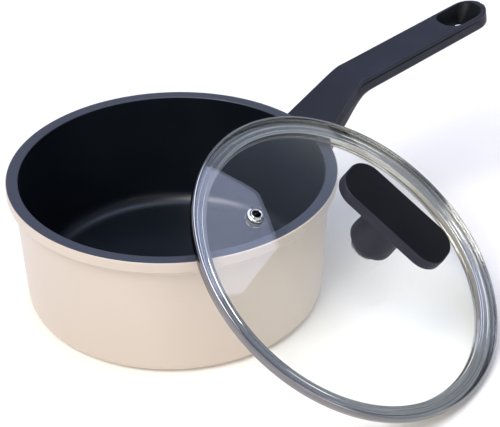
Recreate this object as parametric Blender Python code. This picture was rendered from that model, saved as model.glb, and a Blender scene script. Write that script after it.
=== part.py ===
"""Saucepan with a bar handle and a domed glass lid that leans on its rim.

Run with: blender --background --python part.py
The frame: origin at the centre of the pan's underside, +Z up, +X along the handle.
"""
import math

import bmesh
import bpy
from mathutils import Matrix, Vector

MM = 0.001
GAP = 0.3                 # air left between touching pieces

# driving dimensions, all in millimetres and degrees
PAN_R = 100.0             # outer radius of the rim
PAN_H = 84.0              # height of the rim
RIM_BAND = 7.5            # width of the flat top of the rim
LIP_H = 6.0               # straight outer face of the rim
WALL_TOP_R = 95.4         # outside of the wall below the rim
WALL_BOTTOM_R = 92.8      # outside of the wall above the base corner
WALL_T = 2.6
CORNER_R = 12.0           # outside corner of the base
FLOOR_Z = 5.0             # inside floor
PLATE_R = 77.5            # steel plate in the underside
PLATE_T = 1.5

KNEE_X, KNEE_Z = 132.9, 109.2     # where the neck's top meets the grip's top
NECK_SLOPE = 0.848
GRIP_ANGLE = 11.0
GRIP_LENGTH = 99.5        # from the knee to the centre of the round end
GRIP_T = 11.5
GRIP_SIDE = 8.6           # depth of the upright side
GRIP_HALF_KNEE = 13.3
GRIP_HALF_END = 12.8
ROOT_X = 99.3             # root face of the handle
ROOT_HALF = 21.4
ROOT_LOW, ROOT_SIDE = 57.5, 4.0
SLOT_TOP = (93.5, 30.0, 21.5)     # hanging slot: centre from the knee, length and width
SLOT_UNDER = (88.8, 13.5, 12.0)   # the same on the underside, where the slot is narrower

BEARING_HIGH = 73.0       # top of the face where pad, guard and handle meet
BEARING_HALF = 20.2
PAD_FACE = 97.7           # outer face of the cast pad that the handle bears on
LUG_LOW, LUG_HIGH = 65.7, 71.3    # tongue cast on the pad, inside the handle's root
LUG_END, LUG_HALF = 109.5, 9.0
LUG_ROOM = 0.4            # air round the tongue
SCREW_X = 104.3           # the screw that holds the handle on the tongue
SCREW_SEAT = 62.4         # height of the face the screw's washers bear on

LID_TILT = 33.8           # lean of the lid from level
LID_SIDE = -65.0          # compass direction of the lean, from the handle
LID_REACH = 124.1         # from the pan's axis to the lid's axis
LID_R = 102.2             # outside of the steel rim
DOME_RISE = 17.7          # top of the glass above the rim's top edge
GLASS_R = 101.2
GLASS_T = 3.7
GLASS_HOLE_R = 4.2         # hole for the knob's screw
EDGE_DROP = 1.03          # edge of the glass below the rim's top edge
RIM_SHEET = 0.6
RIM_DEPTH = 6.2           # lowest edge of the outer wall, which rests on the floor
SKIRT_R = 91.9            # outside of the skirt that drops into the pan
SKIRT_DROP = 11.0
VENT_R, VENT_ANGLE = 67.9, 35.6   # place of the steam vent on the dome
VENT_HOLE_R = 3.4

KNOB_LENGTH, KNOB_WIDTH, KNOB_T = 72.6, 31.5, 7.0
KNOB_TURN = 2.7
KNOB_TOP = 49.4           # top of the bar above the rim's top edge
KNOB_CORNER = 12.6

ROUND = 48                # steps round the pan and the lid
SMALL = 24                # steps round the small pieces


# ---------------------------------------------------------------- helpers

def clear_scene():
    for obj in list(bpy.data.objects):
        bpy.data.objects.remove(obj, do_unlink=True)


def material(name, colour, roughness, metallic=0.0, alpha=1.0):
    mat = bpy.data.materials.new(name)
    mat.use_nodes = True
    shader = mat.node_tree.nodes["Principled BSDF"]
    shader.inputs["Base Color"].default_value = (*colour, 1.0)
    shader.inputs["Roughness"].default_value = roughness
    shader.inputs["Metallic"].default_value = metallic
    shader.inputs["Alpha"].default_value = alpha
    mat.diffuse_color = (*colour, alpha)
    return mat


def add_object(name, mesh, mat=None, parent=None):
    obj = bpy.data.objects.new(name, mesh)
    bpy.context.scene.collection.objects.link(obj)
    if mat:
        mesh.materials.append(mat)
    obj.parent = parent
    return obj


def arc(cx, cz, radius, start, end, steps):
    """Points of an arc, angles in degrees from +X towards +Z."""
    turn = [start + (end - start) * i / steps for i in range(steps + 1)]
    return [(cx + radius * math.cos(math.radians(a)), cz + radius * math.sin(math.radians(a)))
            for a in turn]


def turned(name, profile, mat, steps=SMALL, parent=None, closed=False):
    """Turn a profile of (radius, height) points, which runs down its outer side."""
    mesh = bpy.data.meshes.new(name)
    count = len(profile)
    edges = [(i, i + 1) for i in range(count - 1)]
    if closed:
        edges.append((count - 1, 0))
    mesh.from_pydata([(r * MM, 0.0, z * MM) for r, z in profile], edges, [])
    obj = add_object(name, mesh, mat, parent)
    screw = obj.modifiers.new("turn", "SCREW")
    screw.axis = "Z"
    screw.steps = screw.render_steps = steps
    screw.use_merge_vertices = True
    screw.merge_threshold = 0.00001
    screw.use_smooth_shade = True
    return obj


def ring(name, inner, outer, low, high, mat, parent=None, steps=SMALL):
    """A flat ring or washer."""
    profile = [(inner, high), (outer, high), (outer, low), (inner, low)]
    return turned(name, profile, mat, steps, parent, closed=True)


def prism(name, outline, low, high, mat=None, parent=None):
    """Extrude a flat outline of (x, y) points, given anticlockwise, upwards."""
    mesh = bpy.data.meshes.new(name)
    bm = bmesh.new()
    face = bm.faces.new([bm.verts.new((x * MM, y * MM, low * MM)) for x, y in outline])
    top = bmesh.ops.extrude_face_region(bm, geom=[face])
    lift = [v for v in top["geom"] if isinstance(v, bmesh.types.BMVert)]
    bmesh.ops.translate(bm, verts=lift, vec=(0, 0, (high - low) * MM))
    bmesh.ops.recalc_face_normals(bm, faces=bm.faces)
    bm.to_mesh(mesh)
    bm.free()
    return add_object(name, mesh, mat, parent)


def lofted(name, sections, mat=None):
    """Join closed cross-sections one to the next and cap both ends."""
    mesh = bpy.data.meshes.new(name)
    bm = bmesh.new()
    loops = []
    for section in sections:
        verts = [bm.verts.new(p) for p in section]
        loops.append([bm.edges.new((verts[i], verts[i - 1])) for i in range(len(verts))])
    for first, second in zip(loops, loops[1:]):
        bmesh.ops.bridge_loops(bm, edges=first + second)
    bmesh.ops.contextual_create(bm, geom=loops[0])
    bmesh.ops.contextual_create(bm, geom=loops[-1])
    bmesh.ops.recalc_face_normals(bm, faces=bm.faces)
    bm.to_mesh(mesh)
    bm.free()
    return add_object(name, mesh, mat)


def rounded_outline(length, width, corner, steps):
    """Anticlockwise rounded rectangle about the origin."""
    points = []
    for sx, sy, start in ((1, 1, 0), (-1, 1, 90), (-1, -1, 180), (1, -1, 270)):
        points += arc(sx * (length / 2 - corner), sy * (width / 2 - corner), corner,
                      start, start + 90, steps)
    return points


def box_tool(name, low, high):
    """A plain box, in millimetres, used to build up or cut another piece."""
    mesh = bpy.data.meshes.new(name)
    bm = bmesh.new()
    bmesh.ops.create_cube(bm, size=1.0)
    size = [(b - a) * MM for a, b in zip(low, high)]
    middle = [(a + b) / 2 * MM for a, b in zip(low, high)]
    bmesh.ops.scale(bm, vec=size, verts=bm.verts)
    bmesh.ops.translate(bm, vec=middle, verts=bm.verts)
    bm.to_mesh(mesh)
    bm.free()
    return add_object(name, mesh)


def drill_tool(name, radius, low, high, steps=SMALL):
    """An upright cylinder on the origin's axis."""
    return turned(name, [(0, high), (radius, high), (radius, low), (0, low)], None, steps)


def combine(obj, tool, operation="DIFFERENCE"):
    """Cut or join obj with a tool, which is then only a guide."""
    change = obj.modifiers.new(tool.name, "BOOLEAN")
    change.operation = operation
    change.solver = "EXACT"
    change.object = tool
    tool.hide_render = True
    tool.display_type = "WIRE"


# ---------------------------------------------------------------- the pan

def pan_profile():
    """Inside floor, up the inner wall, over the rim and down the outside."""
    inner_top = PAN_R - RIM_BAND
    inner_bottom = WALL_BOTTOM_R - WALL_T
    inner_corner = CORNER_R - WALL_T + 1.0
    lip_low = PAN_H - LIP_H
    profile = [(0, FLOOR_Z)]
    profile += arc(inner_bottom - inner_corner, FLOOR_Z + inner_corner, inner_corner, -90, 0, 6)
    profile += [(inner_top - 0.1, PAN_H - 0.8), (inner_top + 0.6, PAN_H)]
    profile += [(PAN_R - 0.7, PAN_H), (PAN_R, PAN_H - 0.7), (PAN_R, lip_low)]
    profile += [(PAN_R - 0.8, lip_low - 1.8), (WALL_TOP_R + 0.9, lip_low - 4.2)]
    profile += [(WALL_TOP_R, lip_low - 6.0)]
    profile += arc(WALL_BOTTOM_R - CORNER_R, CORNER_R, CORNER_R, 0, -90, 6)
    recess = PLATE_R + GAP
    roof = PLATE_T + GAP
    profile += [(recess, 0), (recess, roof), (0, roof)]
    return profile


def face_plate(name, grow, low, high, mat=None):
    """Upright plate between two X positions, in the outline of the handle's bearing face."""
    section = handle_section((ROOT_X, BEARING_HIGH + grow), (ROOT_X, ROOT_LOW - grow),
                             BEARING_HALF + grow, ROOT_SIDE)
    outline = [(-p.z / MM, p.y / MM) for p in section]
    plate = prism(name, outline, 0, high - low, mat)
    plate.rotation_euler = (0, math.radians(90), 0)
    plate.location = (low * MM, 0, 0)
    return plate


def make_pan(mats):
    pan = turned("pan_body", pan_profile(), mats["cream"], ROUND)
    combine(pan, face_plate("pad_tool", -1.5, WALL_BOTTOM_R - 0.5, PAD_FACE), "UNION")
    lug = box_tool("lug_tool", (PAD_FACE - 2, -LUG_HALF, LUG_LOW), (LUG_END, LUG_HALF, LUG_HIGH))
    combine(pan, lug, "UNION")
    thread = drill_tool("thread_tool", 2.1, LUG_LOW - 1, LUG_HIGH - 1.2)
    thread.location.x = SCREW_X * MM
    combine(pan, thread)
    # the steel plate lies flush in the underside
    turned("base_plate", [(0, PLATE_T), (PLATE_R, PLATE_T), (PLATE_R, 0), (0, 0)],
           mats["steel"], ROUND)
    return pan


# ---------------------------------------------------------------- the handle

def grip_point(along, depth=0.0):
    """Point on the grip's top line, or depth below it, in the X-Z plane."""
    a = math.radians(GRIP_ANGLE)
    return (KNEE_X + along * math.cos(a) + depth * math.sin(a),
            KNEE_Z + along * math.sin(a) - depth * math.cos(a))


def neck_top(x):
    return KNEE_Z - (KNEE_X - x) * NECK_SLOPE


def neck_half(x):
    """Half the neck's width, which flares towards the pan."""
    share = (x - ROOT_X) / (KNEE_X - ROOT_X)
    return ROOT_HALF + (GRIP_HALF_KNEE - ROOT_HALF) * min(share, 1.0)


def handle_stations():
    """Cross-sections from root to tip: top point, bottom point, half width, side depth."""
    stations = []
    under = [(ROOT_X, ROOT_LOW), (104.5, 58.0), (109.5, 61.8), (116.0, 71.0), (123.0, 79.0),
             (129.0, 87.0)]
    for x, low, side in zip((ROOT_X, 102.0, 105.5, 112.0, 120.0, 127.0), under,
                            (ROOT_SIDE, 4.0, 4.0, 4.6, 5.8, 7.4)):
        stations.append(((x, neck_top(x)), low, neck_half(x), side))
    stations.append(((131.4, 107.7), (134.4, 93.2), 13.8, 8.2))
    stations.append(((135.4, 109.7), (138.6, 97.0), 13.4, 8.4))
    for along in (8.0, 30.0, 60.0, 80.0, GRIP_LENGTH):
        half = GRIP_HALF_KNEE + (GRIP_HALF_END - GRIP_HALF_KNEE) * along / GRIP_LENGTH
        stations.append((grip_point(along), grip_point(along, GRIP_T), half, GRIP_SIDE))
    for turn in (25.0, 45.0, 62.0, 76.0, 85.0):
        reach = GRIP_HALF_END * math.sin(math.radians(turn))
        half = GRIP_HALF_END * math.cos(math.radians(turn))
        along = GRIP_LENGTH + reach
        stations.append((grip_point(along), grip_point(along, GRIP_T), half, GRIP_SIDE))
    return stations


def handle_section(top, bottom, half, side):
    """One closed cross-section: flat top, upright sides, underside drawn in."""
    top = Vector((top[0], 0, top[1]))
    down = Vector((bottom[0], 0, bottom[1])) - top
    depth = down.length
    down.normalize()
    edge = min(1.0, half * 0.3)
    belly = [(half - edge, 0.0), (half, edge), (half, side),
             (half * 0.9, side + (depth - side) * 0.55), (half * 0.62, depth)]
    points = [(y, d) for y, d in belly] + [(-y, d) for y, d in reversed(belly)]
    return [(top + down * d + Vector((0, y, 0))) * MM for y, d in points]


def slot_section(depth):
    """Outline of the hanging slot at a depth below the grip's top, which narrows downwards."""
    share = depth / GRIP_T
    at, length, width = (a + (b - a) * share for a, b in zip(SLOT_TOP, SLOT_UNDER))
    section = []
    for x, y in rounded_outline(length, width, width / 2 - 0.01, 5):
        across, up = grip_point(at + x, depth)
        section.append(Vector((across, y, up)) * MM)
    return section


def make_handle(mats):
    sections = [handle_section(*station) for station in handle_stations()]
    handle = lofted("handle", sections, mats["soft_black"])
    combine(handle, lofted("slot_tool", [slot_section(-1.0), slot_section(GRIP_T + 1.0)]))

    # the root keeps clear of the pan's lip
    combine(handle, drill_tool("lip_tool", PAN_R + GAP, BEARING_HIGH + 0.6, PAN_H + 2, ROUND))
    socket = box_tool("socket_tool", (ROOT_X - 3, -LUG_HALF - LUG_ROOM, LUG_LOW - LUG_ROOM),
                      (LUG_END + LUG_ROOM + GAP, LUG_HALF + LUG_ROOM, LUG_HIGH + LUG_ROOM))
    combine(handle, socket)
    pocket = turned("pocket_tool", [(0, LUG_LOW), (2.3, LUG_LOW), (2.3, SCREW_SEAT), (4.2, SCREW_SEAT),
                                    (4.2, ROOT_LOW - 5), (0, ROOT_LOW - 5)], None)
    pocket.location.x = SCREW_X * MM
    combine(handle, pocket)
    return handle


def make_handle_fixings(mats):
    guard = face_plate("flame_guard", GAP, PAD_FACE + GAP, ROOT_X - GAP, mats["steel"])
    window = box_tool("window_tool", (PAD_FACE - 1, -LUG_HALF - LUG_ROOM, LUG_LOW - LUG_ROOM),
                      (ROOT_X + 1, LUG_HALF + LUG_ROOM, LUG_HIGH + LUG_ROOM))
    combine(guard, window)

    head = SCREW_SEAT - 2.2       # top of the screw's head
    screw = turned("handle_screw",
                   [(0, LUG_HIGH - 2), (1.5, LUG_HIGH - 2), (1.8, LUG_HIGH - 2.4), (1.8, head),
                    (3.4, head), (3.4, head - 1.2), (2.8, head - 1.8), (0, head - 1.8)],
                   mats["steel"])
    spring = ring("handle_spring_washer", 2.1, 3.5, head + 0.3, head + 0.9, mats["steel"])
    flat = ring("handle_washer", 2.1, 3.9, head + 1.2, head + 1.9, mats["steel"])
    for piece in (screw, spring, flat):
        piece.location.x = SCREW_X * MM


# ---------------------------------------------------------------- the lid

def dome_sphere():
    """Radius of the sphere that the glass's upper face is part of."""
    drop = DOME_RISE + EDGE_DROP
    return (GLASS_R ** 2 + drop ** 2) / (2 * drop)


def dome_height(radius):
    """Height of the glass's upper face above the rim's top edge."""
    return DOME_RISE - dome_sphere() + math.sqrt(dome_sphere() ** 2 - radius ** 2)


def dome_slope(radius):
    return math.degrees(math.asin(radius / dome_sphere()))


def lid_frame():
    """Empty at the middle of the lid's rim: its Z is the lid's axis, its X points up the lean."""
    tilt = math.radians(LID_TILT)
    rest = (LID_R - 0.8) * math.sin(tilt) + RIM_DEPTH * math.cos(tilt)
    empty = bpy.data.objects.new("lid_frame", None)
    bpy.context.scene.collection.objects.link(empty)
    side = math.radians(LID_SIDE)
    lean = Matrix.Rotation(side + math.pi, 4, "Z") @ Matrix.Rotation(-tilt, 4, "Y")
    empty.matrix_world = Matrix.Translation((LID_REACH * math.cos(side) * MM,
                                             LID_REACH * math.sin(side) * MM, rest * MM)) @ lean
    bpy.context.view_layer.update()
    return empty


def make_glass(mats, lid):
    radii = [GLASS_HOLE_R, 14.0, 30.0, 46.0, 60.0, 74.0, 88.0, GLASS_R]
    top = [(r, dome_height(r)) for r in radii]
    under = [(r, z - GLASS_T) for r, z in reversed(top)]
    glass = turned("lid_glass", top + under, mats["glass"], ROUND, lid, closed=True)
    hole = drill_tool("vent_hole_tool", VENT_HOLE_R, -8, 8)
    place_on_dome(hole, lid)
    combine(glass, hole)


def place_on_dome(obj, lid):
    """Put a piece made about the origin on the dome at the vent, along the glass's normal."""
    angle = math.radians(VENT_ANGLE)
    lean = Matrix.Rotation(angle, 4, "Z") @ Matrix.Rotation(math.radians(dome_slope(VENT_R)), 4, "Y")
    spot = Matrix.Translation((VENT_R * math.cos(angle) * MM, VENT_R * math.sin(angle) * MM,
                               dome_height(VENT_R) * MM))
    obj.parent = lid
    obj.matrix_local = spot @ lean


def make_rim(mats, lid):
    """Rolled steel rim: lip over the glass, outer wall, flange under the glass and skirt."""
    t = RIM_SHEET
    lip_in = LID_R - 1.5
    flange = -5.05            # upper face of the flange
    low = -RIM_DEPTH
    hem = -SKIRT_DROP
    profile = [
        (lip_in, 0.15), (LID_R - 0.8, 0.1), (LID_R - 0.2, -0.4), (LID_R, -1.2), (LID_R, -3.6),
        (LID_R - 0.1, -5.3), (LID_R - 0.8, low), (LID_R - 1.6, low), (LID_R - 2.0, flange - t - 0.2),
        (LID_R - 3.4, flange - t), (SKIRT_R + 0.5, flange - t), (SKIRT_R, flange - t - 0.5),
        (SKIRT_R, hem + 0.6), (SKIRT_R - 0.6, hem), (SKIRT_R - 1.4, hem + 0.3),
        (SKIRT_R - 1.7, hem + 1.0), (SKIRT_R - 1.3, hem + 1.7), (SKIRT_R - t, hem + 2.0),
        (SKIRT_R - t, flange - 0.5), (SKIRT_R - 0.1, flange), (LID_R - 0.7, flange),
        (LID_R - t, -3.6), (LID_R - t, -1.2), (LID_R - 0.9, -0.6), (lip_in, -0.45)]
    turned("lid_rim", profile, mats["steel"], ROUND, lid, closed=True)


def make_vent(mats, lid):
    glass_under = -GLASS_T
    eyelet = turned("vent_eyelet",
                    [(2.9, 2.1), (3.5, 2.0), (4.0, 1.3), (5.2, 1.0), (5.4, 0.6), (5.2, GAP),
                     (3.0, GAP), (3.0, glass_under - 2.4), (4.2, glass_under - 2.9),
                     (4.2, glass_under - 3.4), (2.9, glass_under - 3.2), (2.4, glass_under - 2.6),
                     (2.4, 1.6)],
                    mats["steel"], SMALL, None, closed=True)
    place_on_dome(eyelet, lid)
    washer = ring("vent_washer", 3.3, 5.6, glass_under - 2.1, glass_under - 1.3, mats["steel"])
    place_on_dome(washer, lid)
    gasket = ring("vent_gasket", 3.4, 5.4, glass_under - 1.0, glass_under - 0.3, mats["rubber"])
    place_on_dome(gasket, lid)


def knob_stem_profile(base, bar_low):
    """Stem from inside the bar down to its foot on the glass."""
    middle = (base + bar_low) / 2
    return [(0, bar_low + 2.0), (14.8, bar_low + 2.0), (14.8, bar_low), (13.7, bar_low - 0.9),
            (13.3, bar_low - 2.4), (13.3, middle), (13.7, base + 5.0), (13.5, base + 2.6),
            (12.5, base + 0.7), (10.8, base), (0, base)]


def make_knob(mats, lid):
    bar_low = KNOB_TOP - KNOB_T
    base = DOME_RISE + 1.6
    outline = rounded_outline(KNOB_LENGTH, KNOB_WIDTH, KNOB_CORNER, 5)
    knob = prism("knob", outline, bar_low, KNOB_TOP, mats["soft_black"], lid)
    knob.rotation_euler.z = math.radians(KNOB_TURN)
    edge = knob.modifiers.new("edge", "BEVEL")
    edge.width = 1.2 * MM
    edge.segments = 2
    edge.limit_method = "ANGLE"
    stem = turned("stem_tool", knob_stem_profile(base, bar_low), None, SMALL, lid)
    combine(knob, stem, "UNION")
    pocket = drill_tool("insert_pocket_tool", 4.8, base - 2, 33.0, 16)
    pocket.parent = lid
    combine(knob, pocket)

    ring("knob_insert", 2.9, 4.5, base + GAP, 31.6, mats["brass"], lid, 16)
    ring("knob_gasket", 5.5, 10.8, DOME_RISE + GAP, base - GAP, mats["rubber"], lid)
    under = dome_height(9.0) - GLASS_T - GAP
    ring("knob_lower_gasket", 3.3, 9.0, under - 0.8, under, mats["rubber"], lid)
    ring("knob_washer", 3.3, 8.5, under - 2.3, under - 1.1, mats["steel"], lid)
    head = under - 2.6
    turned("knob_screw", [(0, 30.5), (2.2, 30.5), (2.5, 30.0), (2.5, head), (4.8, head),
                          (4.6, head - 1.8), (3.4, head - 2.8), (0, head - 2.8)],
           mats["steel"], SMALL, lid)


# ---------------------------------------------------------------- build

def main():
    clear_scene()
    mats = {
        "cream": material("cream_coat", (0.76, 0.67, 0.58), 0.35),
        "soft_black": material("soft_black", (0.03, 0.032, 0.042), 0.5),
        "steel": material("steel", (0.62, 0.62, 0.64), 0.25, 1.0),
        "brass": material("brass", (0.7, 0.5, 0.2), 0.35, 1.0),
        "rubber": material("grey_silicone", (0.12, 0.12, 0.13), 0.7),
        "glass": material("clear_glass", (0.85, 0.9, 0.9), 0.05, 0.0, 0.35),
    }
    make_pan(mats)
    make_handle(mats)
    make_handle_fixings(mats)
    lid = lid_frame()
    make_glass(mats, lid)
    make_rim(mats, lid)
    make_vent(mats, lid)
    make_knob(mats, lid)


main()
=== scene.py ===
import math

import bmesh
import bpy
from mathutils import Matrix, Vector


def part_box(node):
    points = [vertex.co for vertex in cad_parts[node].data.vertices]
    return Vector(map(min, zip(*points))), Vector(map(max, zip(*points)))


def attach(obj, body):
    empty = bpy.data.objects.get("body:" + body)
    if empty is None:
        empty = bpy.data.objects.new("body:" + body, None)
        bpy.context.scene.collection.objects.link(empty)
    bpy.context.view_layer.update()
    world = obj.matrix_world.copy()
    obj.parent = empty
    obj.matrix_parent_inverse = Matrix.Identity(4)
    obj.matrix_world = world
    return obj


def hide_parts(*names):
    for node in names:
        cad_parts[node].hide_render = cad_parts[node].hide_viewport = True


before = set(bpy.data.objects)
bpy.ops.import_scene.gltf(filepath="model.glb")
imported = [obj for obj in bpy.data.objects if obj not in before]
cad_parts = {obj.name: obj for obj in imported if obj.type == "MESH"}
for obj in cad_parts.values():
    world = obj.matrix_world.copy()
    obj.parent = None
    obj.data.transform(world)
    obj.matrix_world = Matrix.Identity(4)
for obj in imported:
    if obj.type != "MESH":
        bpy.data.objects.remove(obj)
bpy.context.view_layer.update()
millimetre = 0.001
weld = 0.000002        # points closer than this become one
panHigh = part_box("pan_body")[1].z / millimetre        # top of the rim
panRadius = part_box("pan_body")[1].y / millimetre      # outside of the rim
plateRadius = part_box("base_plate")[1].y / millimetre
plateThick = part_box("base_plate")[1].z / millimetre
print("frame loaded", len(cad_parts), "nodes")


# ways of working that every piece shares

def clearSelection():
    if bpy.context.object and bpy.context.object.mode != "OBJECT":
        bpy.ops.object.mode_set(mode="OBJECT")
    bpy.ops.object.select_all(action="DESELECT")


def pickPiece(piece):
    clearSelection()
    piece.select_set(True)
    bpy.context.view_layer.objects.active = piece


def emptyPiece(name):
    # a new piece with nothing in it yet, left in edit mode
    clearSelection()
    bpy.ops.object.add(type="MESH", enter_editmode=True)
    piece = bpy.context.object
    piece.name = piece.data.name = name
    return piece


def rounded(corners, steps=5):
    # corners are (across, up, radius) and each one turns into an arc
    path = [Vector(corners[0][:2])]
    for before, corner, after in zip(corners, corners[1:], corners[2:]):
        place = Vector(corner[:2])
        back, ahead = Vector(before[:2]) - place, Vector(after[:2]) - place
        half = back.angle(ahead) / 2
        reach = min(corner[2] / math.tan(half), back.length * 0.48, ahead.length * 0.48)
        if reach < 0.001:
            path.append(place)
            continue
        middle = place + (back.normalized() + ahead.normalized()).normalized() * reach / math.cos(half)
        spoke = place + back.normalized() * reach - middle
        sweep = math.pi - 2 * half
        if back.cross(ahead) > 0:
            sweep = -sweep
        path += [middle + Matrix.Rotation(sweep * i / steps, 2) @ spoke for i in range(steps + 1)]
    path.append(Vector(corners[-1][:2]))
    return path


def drawChain(points):
    # one vertex is walked through all the places by extruding it
    bpy.ops.mesh.select_all(action="DESELECT")
    bpy.ops.mesh.primitive_plane_add(size=millimetre, location=points[0])
    bpy.ops.mesh.merge(type="CENTER")
    for start, end in zip(points, points[1:]):
        bpy.ops.mesh.extrude_vertices_move(TRANSFORM_OT_translate={"value": end - start})


def closeUp(spacing=weld):
    bpy.ops.mesh.select_all(action="SELECT")
    bpy.ops.mesh.remove_doubles(threshold=spacing)
    bpy.ops.mesh.normals_make_consistent(inside=False)


def spunPiece(name, outline, steps=64):
    # the outline is (radius, height) in millimetres
    piece = emptyPiece(name)
    drawChain([Vector((r, 0, z)) * millimetre for r, z in outline])
    bpy.ops.mesh.select_all(action="SELECT")
    bpy.ops.mesh.spin(steps=steps, angle=math.tau, center=(0, 0, 0), axis=(0, 0, 1))
    closeUp()
    bpy.ops.object.mode_set(mode="OBJECT")
    return piece


def bridgedPiece(name, rings):
    # closed rings of points, joined one to the next and capped at both ends
    piece = emptyPiece(name)
    for ring in rings:
        drawChain([Vector(p) * millimetre for p in ring + ring[:1]])
    bpy.ops.mesh.select_all(action="SELECT")
    bpy.ops.mesh.remove_doubles(threshold=weld)
    bpy.ops.mesh.bridge_edge_loops()
    for ring in (rings[0], rings[-1]):
        mesh = bmesh.from_edit_mesh(piece.data)
        spots = [Vector(p) * millimetre for p in ring]
        bpy.ops.mesh.select_all(action="DESELECT")
        for vertex in mesh.verts:
            if min((vertex.co - spot).length for spot in spots) < 1.5 * weld:
                vertex.select = True
        mesh.select_flush(True)
        bpy.ops.mesh.edge_face_add()
    closeUp()
    bpy.ops.object.mode_set(mode="OBJECT")
    return piece


def boxPiece(name, low, high):
    # two opposite corners in millimetres
    clearSelection()
    middle = [(a + b) / 2 * millimetre for a, b in zip(low, high)]
    bpy.ops.mesh.primitive_cube_add(size=millimetre, location=middle)
    piece = bpy.context.object
    piece.name = piece.data.name = name
    bpy.ops.object.mode_set(mode="EDIT")
    bpy.ops.mesh.select_all(action="SELECT")
    bpy.ops.transform.resize(value=[b - a for a, b in zip(low, high)], center_override=middle)
    bpy.ops.object.mode_set(mode="OBJECT")
    settle(piece)
    return piece


def settle(piece, place=None):
    # moves the piece to its place and leaves its object at the origin
    pickPiece(piece)
    if place is not None:
        piece.matrix_world = place
    bpy.ops.object.transform_apply(location=True, rotation=True, scale=True)


def applied(piece, kind, **settings):
    pickPiece(piece)
    change = piece.modifiers.new(kind.lower(), kind)
    for setting, value in settings.items():
        setattr(change, setting, value)
    bpy.ops.object.modifier_apply(modifier=change.name)


def combine(piece, tool, way="DIFFERENCE"):
    applied(piece, "BOOLEAN", object=tool, operation=way, solver="EXACT")
    bpy.data.objects.remove(tool)


def bevelWhere(piece, test, width, segments):
    # rounds the edges whose two faces pass the test
    pickPiece(piece)
    bpy.ops.object.mode_set(mode="EDIT")
    bpy.ops.mesh.select_all(action="DESELECT")
    bpy.ops.mesh.select_mode(type="EDGE")
    mesh = bmesh.from_edit_mesh(piece.data)
    for edge in mesh.edges:
        if len(edge.link_faces) == 2 and test(edge):
            edge.select = True
    mesh.select_flush_mode()
    bpy.ops.mesh.bevel(offset=width * millimetre, segments=segments, affect="EDGES", clamp_overlap=True)
    bpy.ops.mesh.select_mode(type="VERT")
    bpy.ops.object.mode_set(mode="OBJECT")


def addCoats(piece, coats):
    for coat in coats:
        piece.data.materials.append(coat)


def finishPiece(piece, body, nodes, finish, smoothUnder=32):
    pickPiece(piece)
    bpy.ops.object.shade_smooth_by_angle(angle=math.radians(smoothUnder))
    if not piece.data.materials:
        piece.data.materials.append(finish)
    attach(piece, body)
    if nodes:
        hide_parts(*nodes)
    return piece


def ringOutline(inner, outer, low, high, soft, steps=3):
    # the section of a washer, starting in the middle of its top
    middle = (inner + outer) / 2
    return rounded([(middle, high), (outer, high, soft), (outer, low, soft), (inner, low, soft),
                    (inner, high, soft), (middle, high)], steps)


def turnedPart(name, node, outline, place, finish):
    # a small turned piece of the lid
    piece = spunPiece(name, outline, 56)
    settle(piece, place)
    return finishPiece(piece, "lid", [node], finish, 50)


# finishes

noiseLow, noiseHigh = 0.3, 0.7        # most of a noise field lies between these


def startFinish(name):
    finish = bpy.data.materials.new(name)
    finish.use_nodes = True
    return finish, finish.node_tree.nodes, finish.node_tree.links, finish.node_tree.nodes["Principled BSDF"]


def noiseField(nodes, links, place, scale, detail=3.0, rough=0.55):
    field = nodes.new("ShaderNodeTexNoise")
    field.inputs["Scale"].default_value = scale
    field.inputs["Detail"].default_value = detail
    field.inputs["Roughness"].default_value = rough
    links.new(place, field.inputs["Vector"])
    return field.outputs["Fac"]


def rampOf(nodes, links, value, stops):
    ramp = nodes.new("ShaderNodeValToRGB")
    for element, (spot, colour) in zip(ramp.color_ramp.elements, (stops[0], stops[-1])):
        element.position, element.color = spot, (*colour, 1)
    for spot, colour in stops[1:-1]:
        ramp.color_ramp.elements.new(spot).color = (*colour, 1)
    links.new(value, ramp.inputs["Fac"])
    return ramp.outputs["Color"]


def twoTone(nodes, links, value, low, high, start=noiseLow):
    return rampOf(nodes, links, value, [(start, low), (noiseHigh, high)])


def rangeOf(nodes, links, value, low, high):
    spread = nodes.new("ShaderNodeMapRange")
    spread.inputs["From Min"].default_value = noiseLow
    spread.inputs["From Max"].default_value = noiseHigh
    spread.inputs["To Min"].default_value = low
    spread.inputs["To Max"].default_value = high
    links.new(value, spread.inputs["Value"])
    return spread.outputs["Result"]


def bumpOf(nodes, links, height, strength, deep, under=None):
    bump = nodes.new("ShaderNodeBump")
    bump.inputs["Strength"].default_value = strength
    bump.inputs["Distance"].default_value = deep * millimetre
    links.new(height, bump.inputs["Height"])
    if under is not None:
        links.new(under, bump.inputs["Normal"])
    return bump.outputs["Normal"]


def objectPlace(nodes):
    return nodes.new("ShaderNodeTexCoord").outputs["Object"]


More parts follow.
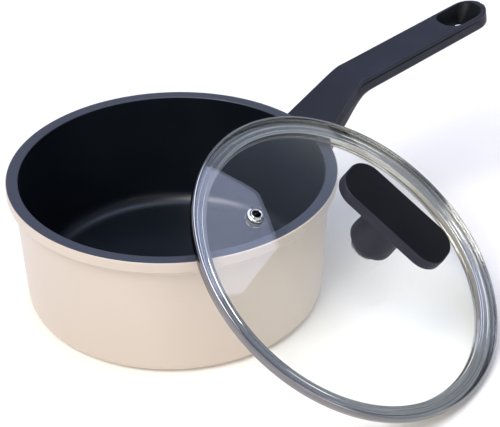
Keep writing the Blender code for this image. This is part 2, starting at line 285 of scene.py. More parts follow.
def roundPlace(nodes, links, place=None, across=600.0, along=2.0):
    # turned pieces are marked along circles round their own axis
    source = objectPlace(nodes)
    if place is not None:
        mapping = nodes.new("ShaderNodeMapping")
        mapping.vector_type = "TEXTURE"
        mapping.inputs["Location"].default_value = place.to_translation()
        mapping.inputs["Rotation"].default_value = place.to_euler()
        links.new(source, mapping.inputs["Vector"])
        source = mapping.outputs["Vector"]
    parts = nodes.new("ShaderNodeSeparateXYZ")
    links.new(source, parts.inputs["Vector"])
    flat = nodes.new("ShaderNodeCombineXYZ")
    links.new(parts.outputs["X"], flat.inputs["X"])
    links.new(parts.outputs["Y"], flat.inputs["Y"])
    radius = nodes.new("ShaderNodeVectorMath")
    radius.operation = "LENGTH"
    links.new(flat.outputs["Vector"], radius.inputs[0])
    outward = nodes.new("ShaderNodeVectorMath")
    outward.operation = "NORMALIZE"
    links.new(flat.outputs["Vector"], outward.inputs[0])
    swing = nodes.new("ShaderNodeVectorMath")
    swing.operation = "SCALE"
    swing.inputs["Scale"].default_value = along
    links.new(outward.outputs["Vector"], swing.inputs[0])
    reach = nodes.new("ShaderNodeCombineXYZ")
    links.new(radius.outputs["Value"], reach.inputs["X"])
    links.new(parts.outputs["Z"], reach.inputs["Z"])
    stretch = nodes.new("ShaderNodeVectorMath")
    stretch.operation = "SCALE"
    stretch.inputs["Scale"].default_value = across
    links.new(reach.outputs["Vector"], stretch.inputs[0])
    total = nodes.new("ShaderNodeVectorMath")
    total.operation = "ADD"
    links.new(swing.outputs["Vector"], total.inputs[0])
    links.new(stretch.outputs["Vector"], total.inputs[1])
    return total.outputs["Vector"]


def creamEnamel():
    finish, nodes, links, shader = startFinish("creamEnamel")
    place = objectPlace(nodes)
    cloud = noiseField(nodes, links, place, 14, 2)
    cream = twoTone(nodes, links, cloud, (0.600, 0.513, 0.430), (0.625, 0.536, 0.450))
    links.new(cream, shader.inputs["Base Color"])
    sheen = rangeOf(nodes, links, noiseField(nodes, links, place, 60), 0.30, 0.36)
    links.new(sheen, shader.inputs["Roughness"])
    peel = bumpOf(nodes, links, noiseField(nodes, links, place, 420, 2), 0.10, 0.05)
    grain = bumpOf(nodes, links, noiseField(nodes, links, place, 2600, 2), 0.12, 0.015, peel)
    links.new(grain, shader.inputs["Normal"])
    shader.inputs["Specular IOR Level"].default_value = 0.45
    shader.inputs["Coat Weight"].default_value = 0.15
    shader.inputs["Coat Roughness"].default_value = 0.12
    return finish


def darkCoat(name, low, high, roughLow, roughHigh, specular):
    # sprayed non-stick coat over turned metal
    finish, nodes, links, shader = startFinish(name)
    place = objectPlace(nodes)
    specks = noiseField(nodes, links, place, 1500, 3)
    links.new(twoTone(nodes, links, specks, low, high, 0.35), shader.inputs["Base Color"])
    cloud = noiseField(nodes, links, place, 35)
    links.new(rangeOf(nodes, links, cloud, roughLow, roughHigh), shader.inputs["Roughness"])
    rings = noiseField(nodes, links, roundPlace(nodes, links, None, 900, 1.5), 1, 2)
    turned = bumpOf(nodes, links, rings, 0.10, 0.02)
    spray = bumpOf(nodes, links, noiseField(nodes, links, place, 1100, 2), 0.08, 0.02, turned)
    links.new(spray, shader.inputs["Normal"])
    shader.inputs["Specular IOR Level"].default_value = specular
    return finish


def softTouch(name, low, high, specular):
    # matt moulded plastic with a fine grain
    finish, nodes, links, shader = startFinish(name)
    place = objectPlace(nodes)
    cloud = noiseField(nodes, links, place, 45, 3)
    links.new(twoTone(nodes, links, cloud, low, high), shader.inputs["Base Color"])
    sheen = rangeOf(nodes, links, noiseField(nodes, links, place, 160), 0.44, 0.54)
    links.new(sheen, shader.inputs["Roughness"])
    grain = bumpOf(nodes, links, noiseField(nodes, links, place, 2400, 3), 0.30, 0.03)
    links.new(grain, shader.inputs["Normal"])
    shader.inputs["Specular IOR Level"].default_value = specular
    return finish


def metal(name, low, high, roughLow, roughHigh, place=None, across=600, marks=0.10):
    # turned metal, brushed along circles
    finish, nodes, links, shader = startFinish(name)
    lines = roundPlace(nodes, links, place, across)
    streak = noiseField(nodes, links, lines, 1, 4, 0.6)
    links.new(twoTone(nodes, links, streak, low, high), shader.inputs["Base Color"])
    links.new(rangeOf(nodes, links, streak, roughLow, roughHigh), shader.inputs["Roughness"])
    links.new(bumpOf(nodes, links, streak, marks, 0.02), shader.inputs["Normal"])
    shader.inputs["Metallic"].default_value = 1.0
    return finish


def clearGlass():
    finish, nodes, links, shader = startFinish("clearGlass")
    place = objectPlace(nodes)
    shader.inputs["Base Color"].default_value = (0.93, 0.95, 0.95, 1)
    shader.inputs["Transmission Weight"].default_value = 1.0
    shader.inputs["IOR"].default_value = 1.5
    haze = rangeOf(nodes, links, noiseField(nodes, links, place, 25), 0.0, 0.008)
    links.new(haze, shader.inputs["Roughness"])
    ripple = bumpOf(nodes, links, noiseField(nodes, links, place, 18, 1), 0.02, 0.1)
    links.new(ripple, shader.inputs["Normal"])
    # light that only casts a shadow passes straight through
    see = nodes.new("ShaderNodeBsdfTransparent")
    see.inputs["Color"].default_value = (0.86, 0.88, 0.88, 1)
    rays = nodes.new("ShaderNodeLightPath")
    choose = nodes.new("ShaderNodeMixShader")
    links.new(rays.outputs["Is Shadow Ray"], choose.inputs["Fac"])
    links.new(shader.outputs["BSDF"], choose.inputs[1])
    links.new(see.outputs["BSDF"], choose.inputs[2])
    links.new(choose.outputs["Shader"], nodes["Material Output"].inputs["Surface"])
    return finish


def silicone():
    finish, nodes, links, shader = startFinish("greySilicone")
    place = objectPlace(nodes)
    cloud = noiseField(nodes, links, place, 300)
    grey = twoTone(nodes, links, cloud, (0.05, 0.05, 0.055), (0.08, 0.08, 0.086))
    links.new(grey, shader.inputs["Base Color"])
    grain = bumpOf(nodes, links, noiseField(nodes, links, place, 1800), 0.2, 0.03)
    links.new(grain, shader.inputs["Normal"])
    shader.inputs["Roughness"].default_value = 0.65
    return finish


# the lid leans on the pan's rim with its lower edge on the floor
lean = {"tilt": 33.8, "side": -65.0, "reach": 124.1, "rimRadius": 102.2, "footInset": 0.8, "footDeep": 6.2}
leanTilt, leanSide = math.radians(lean["tilt"]), math.radians(lean["side"])
lidMiddle = Vector((lean["reach"] * math.cos(leanSide), lean["reach"] * math.sin(leanSide),
                    (lean["rimRadius"] - lean["footInset"]) * math.sin(leanTilt)
                    + lean["footDeep"] * math.cos(leanTilt)))
lidPlace = (Matrix.Translation(lidMiddle * millimetre)
            @ Matrix.Rotation(leanSide + math.pi, 4, "Z") @ Matrix.Rotation(-leanTilt, 4, "Y"))

creamCoat = creamEnamel()
nonStick = darkCoat("nonStickCoat", (0.0030, 0.0050, 0.0078), (0.0050, 0.0080, 0.0120), 0.29, 0.37, 0.5)
# the non-stick coat made lighter for the rim's flat band: painted light
paintedLightBandCoat = darkCoat("paintedLightBandCoat", (0.033, 0.039, 0.056), (0.046, 0.053, 0.076), 0.38, 0.46, 0.5)
touchBlack = softTouch("softTouch", (0.0145, 0.0160, 0.0250), (0.0195, 0.0215, 0.0330), 0.27)
# a darker copy of the soft-touch plastic: painted shade in the handle's slot and on the knob's flat top
paintedShadeBlack = softTouch("softTouchPaintedShade", (0.0022, 0.0025, 0.0036), (0.0034, 0.0038, 0.0053), 0.18)
castMetal = metal("castAluminium", (0.42, 0.42, 0.43), (0.55, 0.55, 0.56), 0.38, 0.52, None, 300, 0.2)
plateSteel = metal("plateSteel", (0.50, 0.50, 0.51), (0.64, 0.64, 0.65), 0.24, 0.36, None, 900, 0.16)
lidSteel = metal("rolledSteel", (0.42, 0.41, 0.39), (0.70, 0.69, 0.65), 0.06, 0.16, lidPlace, 700, 0.12)
# a darker copy of the rim's rolled steel for its outer wall: painted shade
shadedWallSteel = metal("rimWallPaintedShade", (0.17, 0.166, 0.174), (0.30, 0.295, 0.31), 0.07, 0.16,
                  lidPlace, 700, 0.12)
screwSteel = metal("screwSteel", (0.50, 0.50, 0.52), (0.62, 0.62, 0.64), 0.24, 0.34, lidPlace, 900, 0.1)
fixingSteel = metal("fixingSteel", (0.46, 0.46, 0.48), (0.58, 0.58, 0.60), 0.28, 0.38, None, 700, 0.12)
brassMetal = metal("brass", (0.62, 0.44, 0.18), (0.72, 0.53, 0.24), 0.26, 0.36, lidPlace, 900, 0.1)
glassClear = clearGlass()
greyRubber = silicone()
print("finishes made")


# the pan: one turned shell with a cast pad and tongue for the handle
pan = {"rimBand": 7.5, "bandRound": 0.9, "lipRound": 0.8, "lipDeep": 6.4, "lipFoot": 1.0,
       "neckRadius": 95.5, "neckAt": 73.0, "neckRound": 2.2, "footRadius": 92.3, "footRound": 12.0,
       "floorAt": 5.0, "floorRadius": 90.2, "floorRound": 10.4, "around": 160,
       "padFace": 97.7, "padInset": 1.5, "screwAt": 104.3, "threadRadius": 2.1, "threadRoof": 1.2,
       "tongueLow": 65.7, "tongueHigh": 71.3, "tongueEnd": 109.5, "tongueHalf": 9.0, "tongueRound": 0.8,
       "recessGap": 0.3, "bandDeep": 0.75, "bandInset": 0.55}
# the handle's root, where it meets the guard and the screw
root = {"x": 99.3, "top": 73.0, "bottom": 57.5, "half": 20.2, "side": 4.0, "screwSeat": 62.4}
# the bar's section: the side groove's depths below the top, roundings, and widths as parts of the half width
section = {"edge": 1.1, "grooveFrom": 1.9, "grooveDeepFrom": 2.2, "grooveDeepTo": 3.1, "grooveTo": 3.5,
           "sideRound": 1.6, "keelRound": 3.0, "keelWide": 0.90, "bottomRound": 2.0, "bottomWide": 0.62}


def handleSection(topAt, bottomAt, half, side, groove=0.0):
    # flat top, upright sides with a shallow groove, and an underside drawn in like a keel
    top = Vector((topAt[0], 0, topAt[1]))
    down = Vector((bottomAt[0], 0, bottomAt[1])) - top
    deep = down.length
    down.normalize()
    line = rounded([(0, 0), (half, 0, section["edge"]), (half, section["grooveFrom"], 0),
                    (half - groove, section["grooveDeepFrom"], 0),
                    (half - groove, section["grooveDeepTo"], 0),
                    (half - groove * 0.15, section["grooveTo"], 0), (half, side, section["sideRound"]),
                    (half * section["keelWide"], side + (deep - side) * 0.55, section["keelRound"]),
                    (half * section["bottomWide"], deep, section["bottomRound"]), (0, deep)], 4)[1:-1]
    rightSide = [top + down * p.y + Vector((0, p.x, 0)) for p in line]
    leftSide = [top + down * p.y - Vector((0, p.x, 0)) for p in reversed(line)]
    return rightSide + leftSide


def rootPlate(name, grow, start, end):
    # upright plate in the outline of the handle's root
    return bridgedPiece(name, [handleSection((x, root["top"] + grow), (x, root["bottom"] - grow),
                                             root["half"] + grow, root["side"]) for x in (start, end)])


def tongueBox(name, start, end, gap):
    # a box round the tongue, which is also the room that the handle and guard leave for it
    return boxPiece(name, (start, -pan["tongueHalf"] - gap, pan["tongueLow"] - gap),
                    (end, pan["tongueHalf"] + gap, pan["tongueHigh"] + gap))


screwMove = Matrix.Translation((pan["screwAt"] * millimetre, 0, 0))
recessRadius, recessRoof = plateRadius + pan["recessGap"], plateThick + pan["recessGap"]
panOutline = rounded([(0, pan["floorAt"]), (pan["floorRadius"], pan["floorAt"], pan["floorRound"]),
                      (panRadius - pan["rimBand"], panHigh, pan["bandRound"]),
                      (panRadius, panHigh, pan["lipRound"]),
                      (panRadius, panHigh - pan["lipDeep"], pan["lipFoot"]),
                      (pan["neckRadius"], pan["neckAt"], pan["neckRound"]),
                      (pan["footRadius"], 0, pan["footRound"]), (recessRadius, 0, pan["recessGap"]),
                      (recessRadius, recessRoof, 0), (0, recessRoof)], 8)
panBody = spunPiece("panBody", panOutline, pan["around"])
combine(panBody, rootPlate("padTool", -pan["padInset"], pan["footRadius"], pan["padFace"]), "UNION")
tongue = tongueBox("tongueTool", pan["padFace"] - 2, pan["tongueEnd"], 0)
bevelWhere(tongue, lambda edge: True, pan["tongueRound"], 2)
combine(panBody, tongue, "UNION")
threadTop, threadEnd = pan["tongueHigh"] - pan["threadRoof"], pan["tongueLow"] - 1
thread = spunPiece("threadTool", [(0, threadTop), (pan["threadRadius"], threadTop),
                                  (pan["threadRadius"], threadEnd), (0, threadEnd)], 32)
settle(thread, screwMove)
combine(panBody, thread)
# dark coat inside and a lighter copy of it on the rim's flat band as painted light, bare metal in the recess
# and on the tongue, cream elsewhere
panCoats = [creamCoat, paintedLightBandCoat, nonStick, castMetal]
addCoats(panBody, panCoats)
for face in panBody.data.polygons:
    away, up = face.center.xy.length / millimetre, face.center.z / millimetre
    facesIn = face.normal.xy.dot(face.center.xy) <= 0.0001
    if up > panHigh - pan["bandDeep"] and away < panRadius - pan["bandInset"] and face.normal.z > 0.3:
        face.material_index = panCoats.index(paintedLightBandCoat)
    elif facesIn and up > pan["floorAt"] - 0.5 and face.normal.z > -0.1:
        face.material_index = panCoats.index(nonStick)
    elif (away < plateRadius + 1 and up < pan["floorAt"]) or away > panRadius + 0.5:
        face.material_index = panCoats.index(castMetal)
finishPiece(panBody, "pan", ["pan_body"], creamCoat)
print("pan body turned")


# steel plate let into the underside, punched in rings, with aluminium showing through
plate = {"rings": [(15.0, 6), (29.0, 12), (43.0, 18), (57.0, 24)], "hole": 2.6, "studGap": 0.15,
         "studLow": 0.35, "studRoof": 0.1, "grooveAt": (70.0, 69.6, 68.8, 68.4), "grooveDeep": 0.3,
         "grooveRound": 0.15}
grooveLine = [(across, deep, plate["grooveRound"])
              for across, deep in zip(plate["grooveAt"], (0, plate["grooveDeep"], plate["grooveDeep"], 0))]
basePlate = spunPiece("basePlate", rounded([(0, plateThick), (plateRadius, plateThick, 0.2),
                                            (plateRadius, 0, 0.3), *grooveLine, (0, 0)], 3), 128)
holeTool = emptyPiece("holeTool")
studs = emptyPiece("baseStuds")
for tool, radius, low, high in ((holeTool, plate["hole"], -1, plateThick + 1),
                                (studs, plate["hole"] - plate["studGap"], plate["studLow"],
                                 plateThick - plate["studRoof"])):
    pickPiece(tool)
    bpy.ops.object.mode_set(mode="EDIT")
    for ringAt, count in plate["rings"]:
        for i in range(count):
            turn = math.tau * (i + 0.5) / count
            middle = Vector((ringAt * math.cos(turn), ringAt * math.sin(turn), (low + high) / 2))
            bpy.ops.mesh.primitive_cylinder_add(vertices=20, radius=radius * millimetre,
                                                depth=(high - low) * millimetre, location=middle * millimetre)
    bpy.ops.object.mode_set(mode="OBJECT")
combine(basePlate, holeTool)
finishPiece(basePlate, "pan", ["base_plate"], plateSteel)
finishPiece(studs, "pan", [], castMetal)
print("base plate punched")


# the handle: a bar with a bent neck, drawn through its cross-sections
handle = {
    "knee": (132.9, 109.2), "rise": 11.0, "length": 99.5, "thick": 11.5, "halfKnee": 13.3, "halfEnd": 12.8,
    "sideDeep": 8.6,
    # top x, top z, bottom x, bottom z, half width, depth of the upright side, depth of the groove
    "neck": [(99.3, 80.7, 99.3, 57.5, 21.4, 4.4, 0.0), (102.0, 83.0, 104.5, 58.0, 20.7, 4.4, 0.0),
             (105.5, 86.0, 109.5, 61.8, 19.9, 4.4, 0.0), (112.0, 91.5, 116.0, 71.0, 18.4, 4.8, 0.0),
             (120.0, 98.3, 123.0, 79.0, 16.5, 5.8, 0.0), (127.0, 104.2, 129.0, 87.0, 14.9, 7.4, 0.05),
             (131.4, 107.7, 134.4, 93.2, 13.8, 8.2, 0.35), (135.4, 109.7, 138.6, 97.0, 13.4, 8.4, 0.7)],
    # place along the grip from the knee, depth of the groove there
    "kneeRows": [(9.0, 0.8), (18.0, 0.8)],
    "gripRows": [(40.0, 0.8), (62.0, 0.8), (80.0, 0.8), (92.0, 0.6), (99.5, 0.3)],
    # the rounded end: turns in degrees, then distance from the tip, how far the top dips and the bottom lifts
    "endTurns": (12, 24, 36, 48, 58, 66),
    "tipRows": [(0.55, 0.0, 0.4), (0.28, 0.3, 1.2), (0.08, 0.8, 2.0), (0.0, 1.6, 3.2)],
    # the hanging slot narrows downwards: centre from the knee, length, width
    "slotTop": (93.5, 30.0, 21.5), "slotUnder": (89.6, 15.0, 12.0),
    "socketRoom": 0.4, "pocketRadius": 4.2, "screwHole": 2.3, "lipGap": (0.3, 0.6)}
handleRise = math.radians(handle["rise"])


def gripPoint(along, deep=0.0):
    return (handle["knee"][0] + along * math.cos(handleRise) + deep * math.sin(handleRise),
            handle["knee"][1] + along * math.sin(handleRise) - deep * math.cos(handleRise))


def gripRow(along, half, dip=0.0, lift=0.0, groove=0.0):
    return (*gripPoint(along, dip), *gripPoint(along, handle["thick"] - lift), half, handle["sideDeep"] - dip,
            groove)


def smoothRows(rows, parts):
    # a smooth curve through every row, with new rows between them
    out = []
    for i in range(len(rows) - 1):
        a, b, c, d = (rows[max(0, min(len(rows) - 1, j))] for j in (i - 1, i, i + 1, i + 2))
        for k in range(parts):
            t = k / parts
            out.append(tuple(0.5 * (2 * q + (r - p) * t + (2 * p - 5 * q + 4 * r - s) * t * t
                                    + (3 * q - p - 3 * r + s) * t ** 3) for p, q, r, s in zip(a, b, c, d)))
    return out + [rows[-1]]


def gripHalf(along):
    return handle["halfKnee"] + (handle["halfEnd"] - handle["halfKnee"]) * along / handle["length"]


kneeRows, gripRows = ([gripRow(along, gripHalf(along), groove=deep) for along, deep in handle[part]]
                      for part in ("kneeRows", "gripRows"))
rows = smoothRows(handle["neck"] + kneeRows, 3) + gripRows
for turn in handle["endTurns"]:
    rows.append(gripRow(handle["length"] + handle["halfEnd"] * math.sin(math.radians(turn)),
                        handle["halfEnd"] * math.cos(math.radians(turn))))
for inset, dip, lift in handle["tipRows"]:
    reach = handle["halfEnd"] - inset
    half = math.sqrt(max(handle["halfEnd"] ** 2 - reach ** 2, 1.2))
    rows.append(gripRow(handle["length"] + reach, half, dip, lift))
handlePiece = bridgedPiece("handleBar", [handleSection(row[:2], row[2:4], *row[4:]) for row in rows])

# the slot's cutter, level by level: depth, then how far it flares out on every side
slotRings = []
for deep, wide in ((-1.5, 1.2), (0.0, 0.6), (0.4, 0.2), (1.1, 0.0), (handle["thick"] - 1.0, 0.0),
                   (handle["thick"], 0.5), (handle["thick"] + 1.5, 1.6)):
    share = deep / handle["thick"]
    slotAt, length, width = (top + (low - top) * share
                             for top, low in zip(handle["slotTop"], handle["slotUnder"]))
    a, b = length / 2 - 0.5 + wide, width / 2 - 0.5 + wide
    turn = b - 0.05
    outline = rounded([(0, b), (a, b, turn), (a, -b, turn), (-a, -b, turn), (-a, b, turn), (0, b)], 9)[1:]
    places = [(gripPoint(slotAt + p.x, deep), p.y) for p in outline]
    slotRings.append([Vector((x, y, z)) for (x, z), y in places])
combine(handlePiece, bridgedPiece("slotTool", slotRings))
combine(handlePiece, tongueBox("socketTool", root["x"] - 3, pan["tongueEnd"] + 0.7, handle["socketRoom"]))
seat, pocketEnd = root["screwSeat"], root["bottom"] - 5
pocket = spunPiece("pocketTool", [(0, pan["tongueLow"]), (handle["screwHole"], pan["tongueLow"]),
                                  (handle["screwHole"], seat), (handle["pocketRadius"], seat),
                                  (handle["pocketRadius"], pocketEnd), (0, pocketEnd)], 40)
settle(pocket, screwMove)
combine(handlePiece, pocket)
# the root keeps clear of the pan's lip
lipRadius, lipFloor = panRadius + handle["lipGap"][0], root["top"] + handle["lipGap"][1]
combine(handlePiece, spunPiece("lipTool", [(0, panHigh + 2), (lipRadius, panHigh + 2), (lipRadius, lipFloor),
                                           (0, lipFloor)], 160))
pickPiece(handlePiece)
bpy.ops.object.mode_set(mode="EDIT")
closeUp(0.00001)
bpy.ops.object.mode_set(mode="OBJECT")
# the slot's walls get a darker copy of the bar's plastic: painted shade in the recess
addCoats(handlePiece, (touchBlack, paintedShadeBlack))
slotMiddle = Vector(gripPoint(handle["slotTop"][0]))
grip = Vector((math.cos(handleRise), math.sin(handleRise)))
for face in handlePiece.data.polygons:
    along = (Vector((face.center.x, face.center.z)) / millimetre - slotMiddle).dot(grip)
    inward = face.normal.y * face.center.y / millimetre + face.normal.xz.dot(grip) * along
    if abs(along) < 15.2 and inward < -0.5 and abs(face.center.y) / millimetre < 10.9:
        face.material_index = 1
finishPiece(handlePiece, "pan", ["handle"], touchBlack, 38)
print("handle drawn", len(handlePiece.data.polygons), "faces")


# steel guard between the pad and the handle, and the screw that holds the handle
air = 0.3        # left between neighbouring pieces
guard = rootPlate("flameGuard", air, pan["padFace"] + air, root["x"] - air)
combine(guard, tongueBox("windowTool", pan["padFace"] - 1, root["x"] + 1, handle["socketRoom"]))
finishPiece(guard, "pan", ["flame_guard"], fixingSteel)


def crossScrew(name, outline, headAt, reach, deep):
    # turned screw with a cross recess in the underside of its head
    piece = spunPiece(name, outline, 40)
    for turn in (0, 90):
        bar = boxPiece("crossTool", (-reach, -0.55, headAt - 1), (reach, 0.55, headAt + deep))
        settle(bar, Matrix.Rotation(math.radians(turn), 4, "Z"))
        combine(piece, bar)
    return piece


fixing = {"headDrop": 2.2, "head": 3.4, "headThick": 1.8, "shank": 1.8, "tipGap": 2.0, "crossReach": 2.0,
          "crossDeep": 1.1, "washerHole": 2.1, "soft": 0.15, "split": 0.35}
headTop = seat - fixing["headDrop"]
headFoot, screwTip = headTop - fixing["headThick"], pan["tongueHigh"] - fixing["tipGap"]
handleScrew = crossScrew("handleScrew", rounded([(0, screwTip), (fixing["shank"], screwTip, 0.4),
                                                 (fixing["shank"], headTop, 0),
                                                 (fixing["head"], headTop, 0.3),
                                                 (fixing["head"], headTop - 1.4, 0.6),
                                                 (fixing["head"] - 0.8, headFoot, 0.8), (0, headFoot)], 3),
                         headFoot, fixing["crossReach"], fixing["crossDeep"])
settle(handleScrew, screwMove)
finishPiece(handleScrew, "pan", ["handle_screw"], fixingSteel)
for name, node, outer, low, high in (
        ("handleSpringWasher", "handle_spring_washer", 3.5, headTop + 0.3, headTop + 0.9),
        ("handleWasher", "handle_washer", 3.9, headTop + 1.2, headTop + 1.9)):
    washer = spunPiece(name, ringOutline(fixing["washerHole"], outer, low, high, fixing["soft"], 2), 40)
    if node == "handle_spring_washer":
        combine(washer, boxPiece("splitTool", (0, -fixing["split"], low - 1),
                                 (outer + 1, fixing["split"], high + 1)))
    settle(washer, screwMove)
    finishPiece(washer, "pan", [node], fixingSteel)
print("handle fixings made")


# the lid's glass: a shallow dome with a hole for the knob's screw and one for the vent
glass = {"radius": 101.2, "rise": 17.7, "edgeDrop": 1.03, "edgeRound": 0.4, "thick": 3.7, "screwHole": 4.2,
         "ventHole": 3.4, "ventAt": 67.9, "ventTurn": 35.6, "around": 160}
glassDrop = glass["rise"] + glass["edgeDrop"]
glassBall = (glass["radius"] ** 2 + glassDrop ** 2) / (2 * glassDrop)


def domeHigh(radius):
    return glass["rise"] - glassBall + math.sqrt(glassBall ** 2 - radius ** 2)


# the vent stands square on the dome
ventTurn = math.radians(glass["ventTurn"])
ventMiddle = Vector((glass["ventAt"] * math.cos(ventTurn), glass["ventAt"] * math.sin(ventTurn),
                     domeHigh(glass["ventAt"])))
ventPlace = (Matrix.Translation(ventMiddle * millimetre) @ Matrix.Rotation(ventTurn, 4, "Z")
             @ Matrix.Rotation(math.asin(glass["ventAt"] / glassBall), 4, "Y"))

glassSpan = glass["radius"] - glass["edgeRound"] - glass["screwHole"]
radii = [glass["screwHole"] + glassSpan * i / 34 for i in range(35)]
upper = [(r, domeHigh(r)) for r in radii]
lower = [(r, z - glass["thick"]) for r, z in reversed(upper)]
edge = rounded([upper[-1], (glass["radius"], upper[-1][1] - 0.1, glass["edgeRound"]),
                (glass["radius"], lower[0][1] + 0.3, glass["edgeRound"]), lower[0]], 3)[1:-1]
lidGlass = spunPiece("lidGlass", upper + [tuple(p) for p in edge] + lower + upper[:1], glass["around"])
ventTool = spunPiece("ventTool", [(0, 8), (glass["ventHole"], 8), (glass["ventHole"], -8), (0, -8)], 40)
settle(ventTool, ventPlace)
combine(lidGlass, ventTool)
settle(lidGlass, lidPlace)
finishPiece(lidGlass, "lid", ["lid_glass"], glassClear, 40)
print("lid glass made", len(lidGlass.data.polygons), "faces")


# rolled steel rim: a lip over the glass, an outer wall, a flange under the glass and a hemmed skirt
rim = {"sheet": 0.6, "lipRadius": 100.75, "flangeAt": -5.35, "skirtRadius": 91.6, "skirtLow": -10.7,
       "hem": 0.85, "hemHigh": 1.5, "around": 192,
       "wall": [(101.85, -0.14, 0.7), (101.9, -3.0, 3.0), (101.2, -5.95, 0.55), (100.2, -5.85, 0.4)],
       # low beads pressed in the flange: middle, half the foot, half the crown, height, softness
       "beads": [(96.75, 0.85, 0.45, 0.4, 0.25), (93.65, 0.65, 0.35, 0.3, 0.2)]}
beadLine = []
for middle, foot, crown, high, soft in rim["beads"]:
    beadLine += [(middle + foot, rim["flangeAt"], 0.25), (middle + crown, rim["flangeAt"] + high, soft),
                 (middle - crown, rim["flangeAt"] + high, soft), (middle - foot, rim["flangeAt"], 0.25)]
hemRadius = rim["skirtRadius"] - rim["hem"]
rimLine = rounded([(rim["lipRadius"], -0.12), *rim["wall"], (99.7, rim["flangeAt"], 0.5), *beadLine,
                   (rim["skirtRadius"], rim["flangeAt"], 0.55), (rim["skirtRadius"], rim["skirtLow"], 0.42),
                   (hemRadius, rim["skirtLow"], 0.42), (hemRadius, rim["skirtLow"] + rim["hemHigh"])], 5)
lidRim = spunPiece("lidRim", rimLine, rim["around"])
applied(lidRim, "SOLIDIFY", thickness=rim["sheet"] * millimetre, offset=0.0, use_even_offset=True)
# the wall outside the lip gets a darker copy of the rim's steel: painted shade
addCoats(lidRim, (lidSteel, shadedWallSteel))
for face in lidRim.data.polygons:
    outward = face.normal.xy.dot(face.center.xy.normalized())
    if face.center.xy.length / millimetre > 101.4 and outward > 0.5:
        face.material_index = 1
settle(lidRim, lidPlace)
finishPiece(lidRim, "lid", ["lid_rim"], lidSteel, 50)
print("lid rim rolled", len(lidRim.data.polygons), "faces")


# steam vent: an eyelet with its washer and gasket under the glass
vent = {"bore": 2.5, "tube": 3.0, "collar": 5.3, "flare": 4.2, "washer": (3.3, 5.6), "gasket": (3.4, 5.4),
        "soft": 0.2}
under = -glass["thick"]
ventSpot = lidPlace @ ventPlace
turnedPart("ventEyelet", "vent_eyelet",
           rounded([(vent["bore"], 0.0), (vent["bore"], 1.9, 0.4), (3.3, 2.1, 0.5), (3.9, 1.1, 0.5),
                    (vent["collar"], 0.95, 0.4), (vent["collar"], 0.3, 0.25), (vent["tube"], 0.3, 0.1),
                    (vent["tube"], under - 2.4, 0.4), (vent["flare"], under - 2.8, 0.25),
                    (vent["flare"], under - 3.4, 0.25), (2.6, under - 3.1, 0.4), (vent["bore"], 0.0)], 4),
           ventSpot, lidSteel)
turnedPart("ventWasher", "vent_washer", ringOutline(*vent["washer"], under - 2.1, under - 1.3, vent["soft"]),
           ventSpot, lidSteel)
turnedPart("ventGasket", "vent_gasket", ringOutline(*vent["gasket"], under - 1.0, under - 0.3, vent["soft"]),
           ventSpot, greyRubber)
print("vent made")


# the knob: a flat bar on a round stem
knob = {"length": 72.6, "width": 31.5, "thick": 7.0, "corner": 12.6, "turn": 2.7, "top": 49.4, "edge": 1.1,
        "stemTop": 15.2, "stemWaist": 13.25, "stemFoot": 13.6, "footRound": 2.9, "stemGap": 1.6,
        "insertHole": 4.8, "insertTop": 33.0}
barLow = knob["top"] - knob["thick"]
stemLow = glass["rise"] + knob["stemGap"]
knobPiece = boxPiece("knobGrip", (-knob["length"] / 2, -knob["width"] / 2, barLow),
                     (knob["length"] / 2, knob["width"] / 2, knob["top"]))
bevelWhere(knobPiece, lambda edge: abs(edge.verts[0].co.z - edge.verts[1].co.z) > millimetre,
           knob["corner"], 14)
bevelWhere(knobPiece, lambda edge: max(abs(face.normal.z) for face in edge.link_faces) > 0.9
           and min(abs(face.normal.z) for face in edge.link_faces) < 0.1, knob["edge"], 4)
settle(knobPiece, Matrix.Rotation(math.radians(knob["turn"]), 4, "Z"))
stem = spunPiece("stemTool", rounded([(0, barLow + 2), (knob["stemTop"], barLow + 2, 0),
                                      (knob["stemTop"], barLow - 0.01, 0), (13.3, barLow - 0.6, 1.6),
                                      (knob["stemWaist"], barLow - 8.0, 20.0), (13.7, stemLow + 4.0, 10.0),
                                      (knob["stemFoot"], stemLow, knob["footRound"]), (0, stemLow)], 6), 96)
combine(knobPiece, stem, "UNION")
combine(knobPiece, spunPiece("insertTool", [(0, knob["insertTop"]), (knob["insertHole"], knob["insertTop"]),
                                            (knob["insertHole"], stemLow - 2), (0, stemLow - 2)], 40))
settle(knobPiece, lidPlace)
# the flat top gets a darker copy of the knob's plastic: painted shade
addCoats(knobPiece, (touchBlack, paintedShadeBlack))
lidUp = lidPlace.to_3x3() @ Vector((0, 0, 1))
for face in knobPiece.data.polygons:
    if face.normal.dot(lidUp) > 0.9:
        face.material_index = 1
finishPiece(knobPiece, "lid", ["knob"], touchBlack, 40)


# what holds the knob: inner and outer radius, low, high and softness of each ring
glassUnder = domeHigh(9.0) - glass["thick"] - air
for name, node, size, slot, finish in (
        ("knobInsert", "knob_insert", (2.9, 4.5, stemLow + air, 31.6, 0.2), "brass", brassMetal),
        ("knobGasket", "knob_gasket", (5.5, 10.8, glass["rise"] + air, stemLow - air, 0.3),
         "silicone", greyRubber),
        ("knobLowerGasket", "knob_lower_gasket", (3.3, 9.0, glassUnder - 0.8, glassUnder, 0.25),
         "silicone", greyRubber),
        ("knobWasher", "knob_washer", (3.3, 8.5, glassUnder - 2.3, glassUnder - 1.1, 0.25),
         "steel", screwSteel)):
    turnedPart(name, node, ringOutline(*size), lidPlace, finish)
bolt = {"tip": 30.5, "shank": 2.5, "head": 4.8, "headThick": 2.8, "crossReach": 2.8, "crossDeep": 1.4}
headAt = glassUnder - 2.6
boltFoot = headAt - bolt["headThick"]
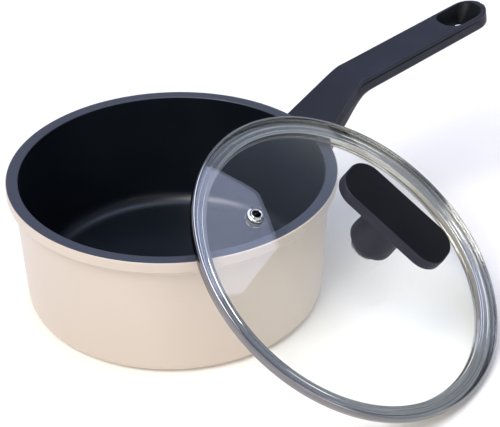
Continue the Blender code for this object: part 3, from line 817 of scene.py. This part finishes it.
knobScrew = crossScrew("knobScrew", rounded([(0, bolt["tip"]), (bolt["shank"], bolt["tip"], 0.6),
                                             (bolt["shank"], headAt, 0), (bolt["head"], headAt, 0.3),
                                             (bolt["head"] - 0.1, headAt - 1.8, 0.9),
                                             (bolt["head"] - 1.4, boltFoot, 1.2), (0, boltFoot)], 3),
                       boltFoot, bolt["crossReach"], bolt["crossDeep"])
settle(knobScrew, lidPlace)
finishPiece(knobScrew, "lid", ["knob_screw"], screwSteel)
print("knob made")


# floor, lights and camera
floorLook, nodes, links, shader = startFinish("paleFloor")
paper = noiseField(nodes, links, objectPlace(nodes), 0.6, 1)
links.new(twoTone(nodes, links, paper, (0.88, 0.85, 0.79), (0.90, 0.87, 0.81)), shader.inputs["Base Color"])
shader.inputs["Roughness"].default_value = 0.9
shader.inputs["Specular IOR Level"].default_value = 0.1
shader.inputs["Emission Color"].default_value = (1.0, 0.975, 0.93, 1)
shader.inputs["Emission Strength"].default_value = 0.10
clearSelection()
bpy.ops.mesh.primitive_plane_add(size=30, location=(0, 0, -0.0001))
floor = bpy.context.object
floor.name = "floor"
floor.data.materials.append(floorLook)

# an eight-sided softbox overhead, which shows in the glass
softbox = {"middle": (0.653, 0.384, 2.70), "radius": 1.245, "turn": 8.7,
           "colour": (0.63, 0.70, 1.0), "strength": 2.8}
softLook, nodes, links, shader = startFinish("softboxCloth")
shader.inputs["Base Color"].default_value = (0, 0, 0, 1)
shader.inputs["Emission Color"].default_value = (*softbox["colour"], 1)
shader.inputs["Emission Strength"].default_value = softbox["strength"]
clearSelection()
bpy.ops.mesh.primitive_circle_add(vertices=8, radius=softbox["radius"], fill_type="NGON",
                                  location=softbox["middle"],
                                  rotation=(math.pi, 0, math.radians(softbox["turn"])))
box = bpy.context.object
box.name = "softbox"
box.data.materials.append(softLook)
box.visible_camera = False


def softLight(name, place, size, power, colour):
    # a square lamp turned to the pan's middle
    clearSelection()
    facing = (Vector((0, 0, 0.05)) - Vector(place)).to_track_quat("-Z", "Y").to_euler()
    bpy.ops.object.light_add(type="AREA", location=place, rotation=facing)
    light = bpy.context.object
    light.name = name
    light.data.shape = "RECTANGLE"
    light.data.size, light.data.size_y = size
    light.data.energy = power
    light.data.color = colour


softLight("keyLeft", (-2.0, -0.6, 2.9), (2.0, 2.0), 105, (1.0, 0.97, 0.95))
softLight("fillFront", (-0.2, -2.6, 0.9), (1.8, 0.8), 13, (1.0, 0.96, 0.90))

# pale room: bright at the horizon, dimmer overhead
skyColours = [(0.0, (0.54, 0.55, 0.56)), (0.18, (0.50, 0.51, 0.52)), (0.40, (0.42, 0.45, 0.52)),
              (0.60, (0.26, 0.30, 0.41)), (1.0, (0.16, 0.18, 0.25))]
room = bpy.data.worlds.new("room")
bpy.context.scene.world = room
room.use_nodes = True
nodes, links = room.node_tree.nodes, room.node_tree.links
direction = nodes.new("ShaderNodeTexCoord")
parts = nodes.new("ShaderNodeSeparateXYZ")
links.new(direction.outputs["Generated"], parts.inputs["Vector"])
links.new(rampOf(nodes, links, parts.outputs["Z"], skyColours), nodes["Background"].inputs["Color"])
nodes["Background"].inputs["Strength"].default_value = 1.0

view = {"place": (-0.3770, -0.6530, 0.5380), "heading": -33.60, "down": 32.87, "roll": -0.49, "lens": 104.4,
        "sensor": 36.0, "nearest": 0.05, "furthest": 60.0}
clearSelection()
bpy.ops.object.camera_add(location=view["place"])
camera = bpy.context.object
camera.name = "camera"
camera.matrix_world = (Matrix.Translation(view["place"])
                       @ Matrix.Rotation(math.radians(view["heading"]), 4, "Z")
                       @ Matrix.Rotation(math.radians(90 - view["down"]), 4, "X")
                       @ Matrix.Rotation(math.radians(view["roll"]), 4, "Z"))
camera.data.lens = view["lens"]
camera.data.sensor_width = view["sensor"]
camera.data.clip_start = view["nearest"]
camera.data.clip_end = view["furthest"]
bpy.context.scene.camera = camera
bpy.context.scene.view_settings.view_transform = "Standard"
print("stage set")
